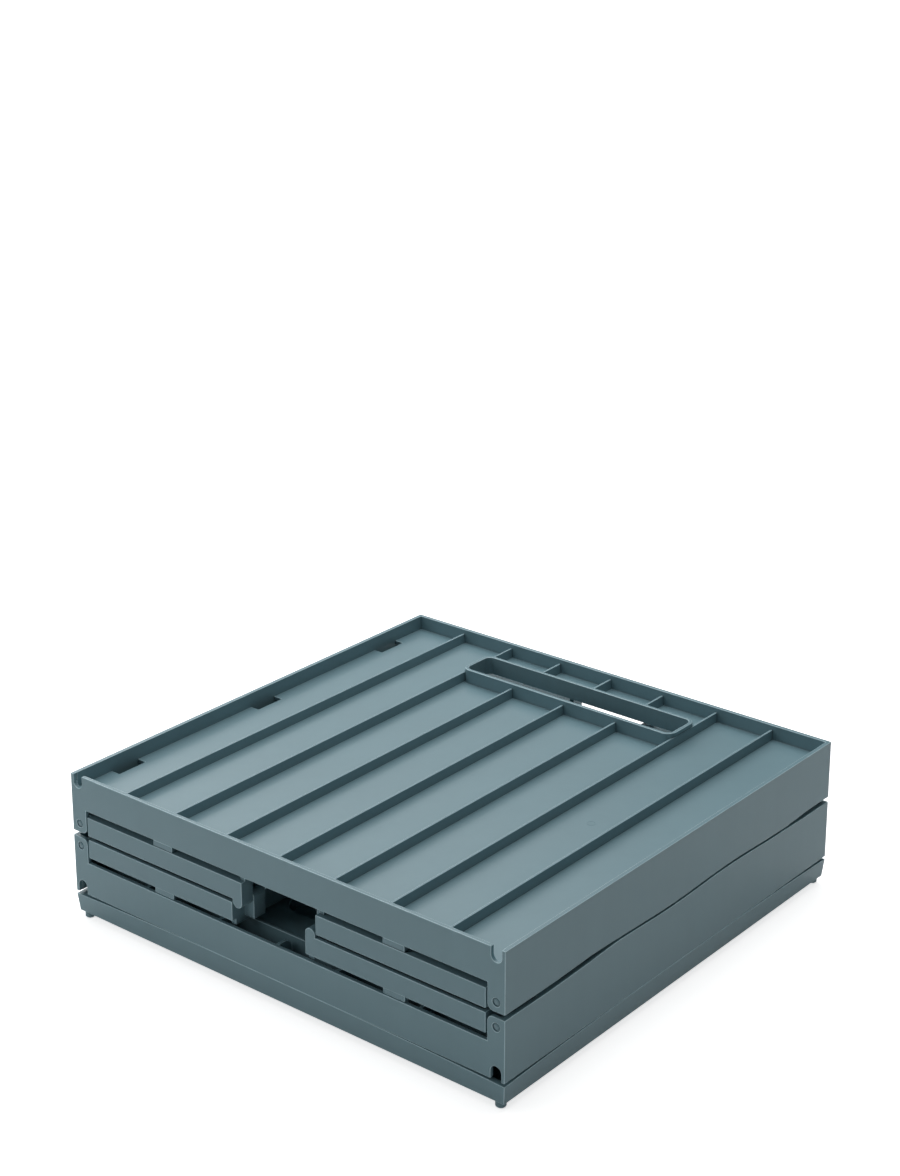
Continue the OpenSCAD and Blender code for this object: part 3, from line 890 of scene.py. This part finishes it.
class CRATE_OT_lid(bpy.types.Operator):
    """Finish the lid that the folded crate stands on"""

    bl_idname = "crate.lid"
    bl_label = "Lid"

    def execute(self, context):
        shape = moulding_copy("lid")
        soften(shape)
        self.bow_rim(shape)
        finished_piece("lid", shape)
        return {"FINISHED"}

    def bow_rim(self, shape):
        """Lets the rim sag towards its corners, most on its free edge."""
        sizes = shape_sizes()
        low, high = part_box("lid")
        for vert in shape.verts:
            height = 1 - (high.z - vert.co.z) / sizes.lid_give
            if height <= 0:
                continue
            along_x = abs(2 * (vert.co.x - low.x) / (high.x - low.x) - 1)
            along_y = abs(2 * (vert.co.y - low.y) / (high.y - low.y) - 1)
            vert.co.z -= sizes.lid_bow * height * (along_x * along_y) ** CORNER_FADE


class CRATE_OT_loose_floor(bpy.types.Operator):
    """Finish the loose floor that is stored inside the fold"""

    bl_idname = "crate.loose_floor"
    bl_label = "Loose floor"

    def execute(self, context):
        shape = moulding_copy("floor_panel")
        soften(shape)
        finished_piece("floor_panel", shape)
        return {"FINISHED"}


# ---------------------------------------------------------------- floor, lights and camera


def shown_white(tree, to_camera, in_shine, to_plastic=0.0):
    """Strength of something white: as the camera sees it, in a reflection, and as light on matt plastic."""
    path = add(tree, "ShaderNodeLightPath").outputs
    mirrored = maths(tree, "MAXIMUM", path["Is Glossy Ray"], path["Is Transmission Ray"])
    strength = maths(tree, "MULTIPLY", path["Is Camera Ray"], to_camera)
    for ray, light in ((mirrored, in_shine), (path["Is Diffuse Ray"], to_plastic)):
        strength = maths(tree, "MAXIMUM", strength, maths(tree, "MULTIPLY", ray, light))
    return strength


def pale_floor_material():
    """Pale floor that is white to the camera away from the crate and keeps its shadow."""
    settings = studio()
    material = bpy.data.materials.new("pale_floor")
    material.use_nodes = True
    tree = material.node_tree
    tree.nodes.clear()
    far = add(tree, "ShaderNodeVectorMath", operation="LENGTH")
    feed(tree, far.inputs[0], add(tree, "ShaderNodeTexCoord").outputs["Object"])
    spread = add(tree, "ShaderNodeMapRange", interpolation_type="SMOOTHSTEP")
    for label, value in (("Value", far.outputs["Value"]), ("From Min", settings.glow_near),
                         ("From Max", settings.glow_far), ("To Min", settings.floor_glow), ("To Max", 1.0)):
        feed(tree, spread.inputs[label], value)
    matt = add(tree, "ShaderNodeBsdfDiffuse")
    matt.inputs["Color"].default_value = (*settings.floor_colour, 1.0)
    glow = add(tree, "ShaderNodeEmission")
    feed(tree, glow.inputs["Strength"], shown_white(tree, spread.outputs["Result"], settings.floor_shine))
    both = add(tree, "ShaderNodeAddShader")
    feed(tree, both.inputs[0], matt.outputs[0])
    feed(tree, both.inputs[1], glow.outputs[0])
    feed(tree, add(tree, "ShaderNodeOutputMaterial").inputs["Surface"], both.outputs[0])
    return material


def white_world():
    """White all round to the camera, and a weak even light on the crate."""
    world = bpy.data.worlds.new("studio_air")
    world.use_nodes = True
    tree = world.node_tree
    air = tree.nodes["Background"]
    air.inputs["Color"].default_value = (1.0, 1.0, 1.0, 1.0)
    feed(tree, air.inputs["Strength"], shown_white(tree, 1.0, studio().air_shine, studio().ambient))
    bpy.context.scene.world = world


def soft_lamp(name, place, size, power):
    """A rectangular area lamp that looks at the crate."""
    lamp = bpy.data.lights.new(name, "AREA")
    lamp.shape = "RECTANGLE"
    lamp.size, lamp.size_y = size
    lamp.energy = power
    obj = linked_object(name, lamp)
    obj.location = place
    obj.rotation_euler = (Vector(LAMP_TARGET) - Vector(place)).to_track_quat("-Z", "Y").to_euler()


class CRATE_OT_studio(bpy.types.Operator):
    """Set up the floor, the lights and the camera"""

    bl_idname = "crate.studio"
    bl_label = "Studio"

    def execute(self, context):
        settings = studio()
        self.lay_floor()
        white_world()
        for name, (place, size) in LAMPS.items():
            soft_lamp(name + "_lamp", place, size, getattr(settings, name + "_power"))
        self.set_camera(context)
        context.scene.view_settings.view_transform = "Standard"
        return {"FINISHED"}

    def lay_floor(self):
        """A wide pale floor under the crate's studs."""
        mesh = bpy.data.meshes.new("studio_floor")
        corners = [(x * FLOOR_REACH, y * FLOOR_REACH, 0) for x, y in ((-1, -1), (1, -1), (1, 1), (-1, 1))]
        mesh.from_pydata(corners, [], [(0, 1, 2, 3)])
        mesh.materials.append(pale_floor_material())
        floor = linked_object("studio_floor", mesh)

    def set_camera(self, context):
        """The camera looks down at the front right corner."""
        settings = studio()
        camera = bpy.data.cameras.new("camera")
        camera.lens = settings.lens
        camera.shift_y = settings.lens_drop
        obj = linked_object("camera", camera)
        obj.location = settings.camera_place
        obj.rotation_euler = Euler(settings.camera_turn, "XYZ")
        context.scene.camera = obj


# ---------------------------------------------------------------- panel and registration


class CRATE_PT_sidebar(bpy.types.Panel):
    """Steps and settings of the folding crate"""

    bl_idname = "CRATE_PT_sidebar"
    bl_label = "Folding Crate"
    bl_space_type = "VIEW_3D"
    bl_region_type = "UI"
    bl_category = "Crate"

    def draw(self, context):
        for operator in OPERATORS:
            self.layout.operator(operator.bl_idname)
        for settings in (plastic(), shape_sizes(), studio()):
            box = self.layout.box()
            for name in settings.__annotations__:
                box.prop(settings, name)


OPERATORS = (CRATE_OT_end_walls, CRATE_OT_leaves, CRATE_OT_pins, CRATE_OT_lid, CRATE_OT_loose_floor,
             CRATE_OT_studio)
GROUPS = {"crate_plastic": CratePlastic, "crate_shape": CrateShape, "crate_studio": CrateStudio}
CLASSES = (*GROUPS.values(), *OPERATORS, CRATE_PT_sidebar)


def register():
    """Registers the classes and gives the scene its settings."""
    for cls in CLASSES:
        bpy.utils.register_class(cls)
    for name, group in GROUPS.items():
        setattr(bpy.types.Scene, name, PointerProperty(type=group))


def unregister():
    """Takes the settings and the classes away again."""
    for name in GROUPS:
        delattr(bpy.types.Scene, name)
    for cls in reversed(CLASSES):
        bpy.utils.unregister_class(cls)


def main():
    """Builds every piece and the stage."""
    register()
    bpy.ops.crate.end_walls()
    bpy.ops.crate.leaves()
    bpy.ops.crate.pins()
    bpy.ops.crate.lid()
    bpy.ops.crate.loose_floor()
    bpy.ops.crate.studio()


if __name__ == "__main__":
    main()
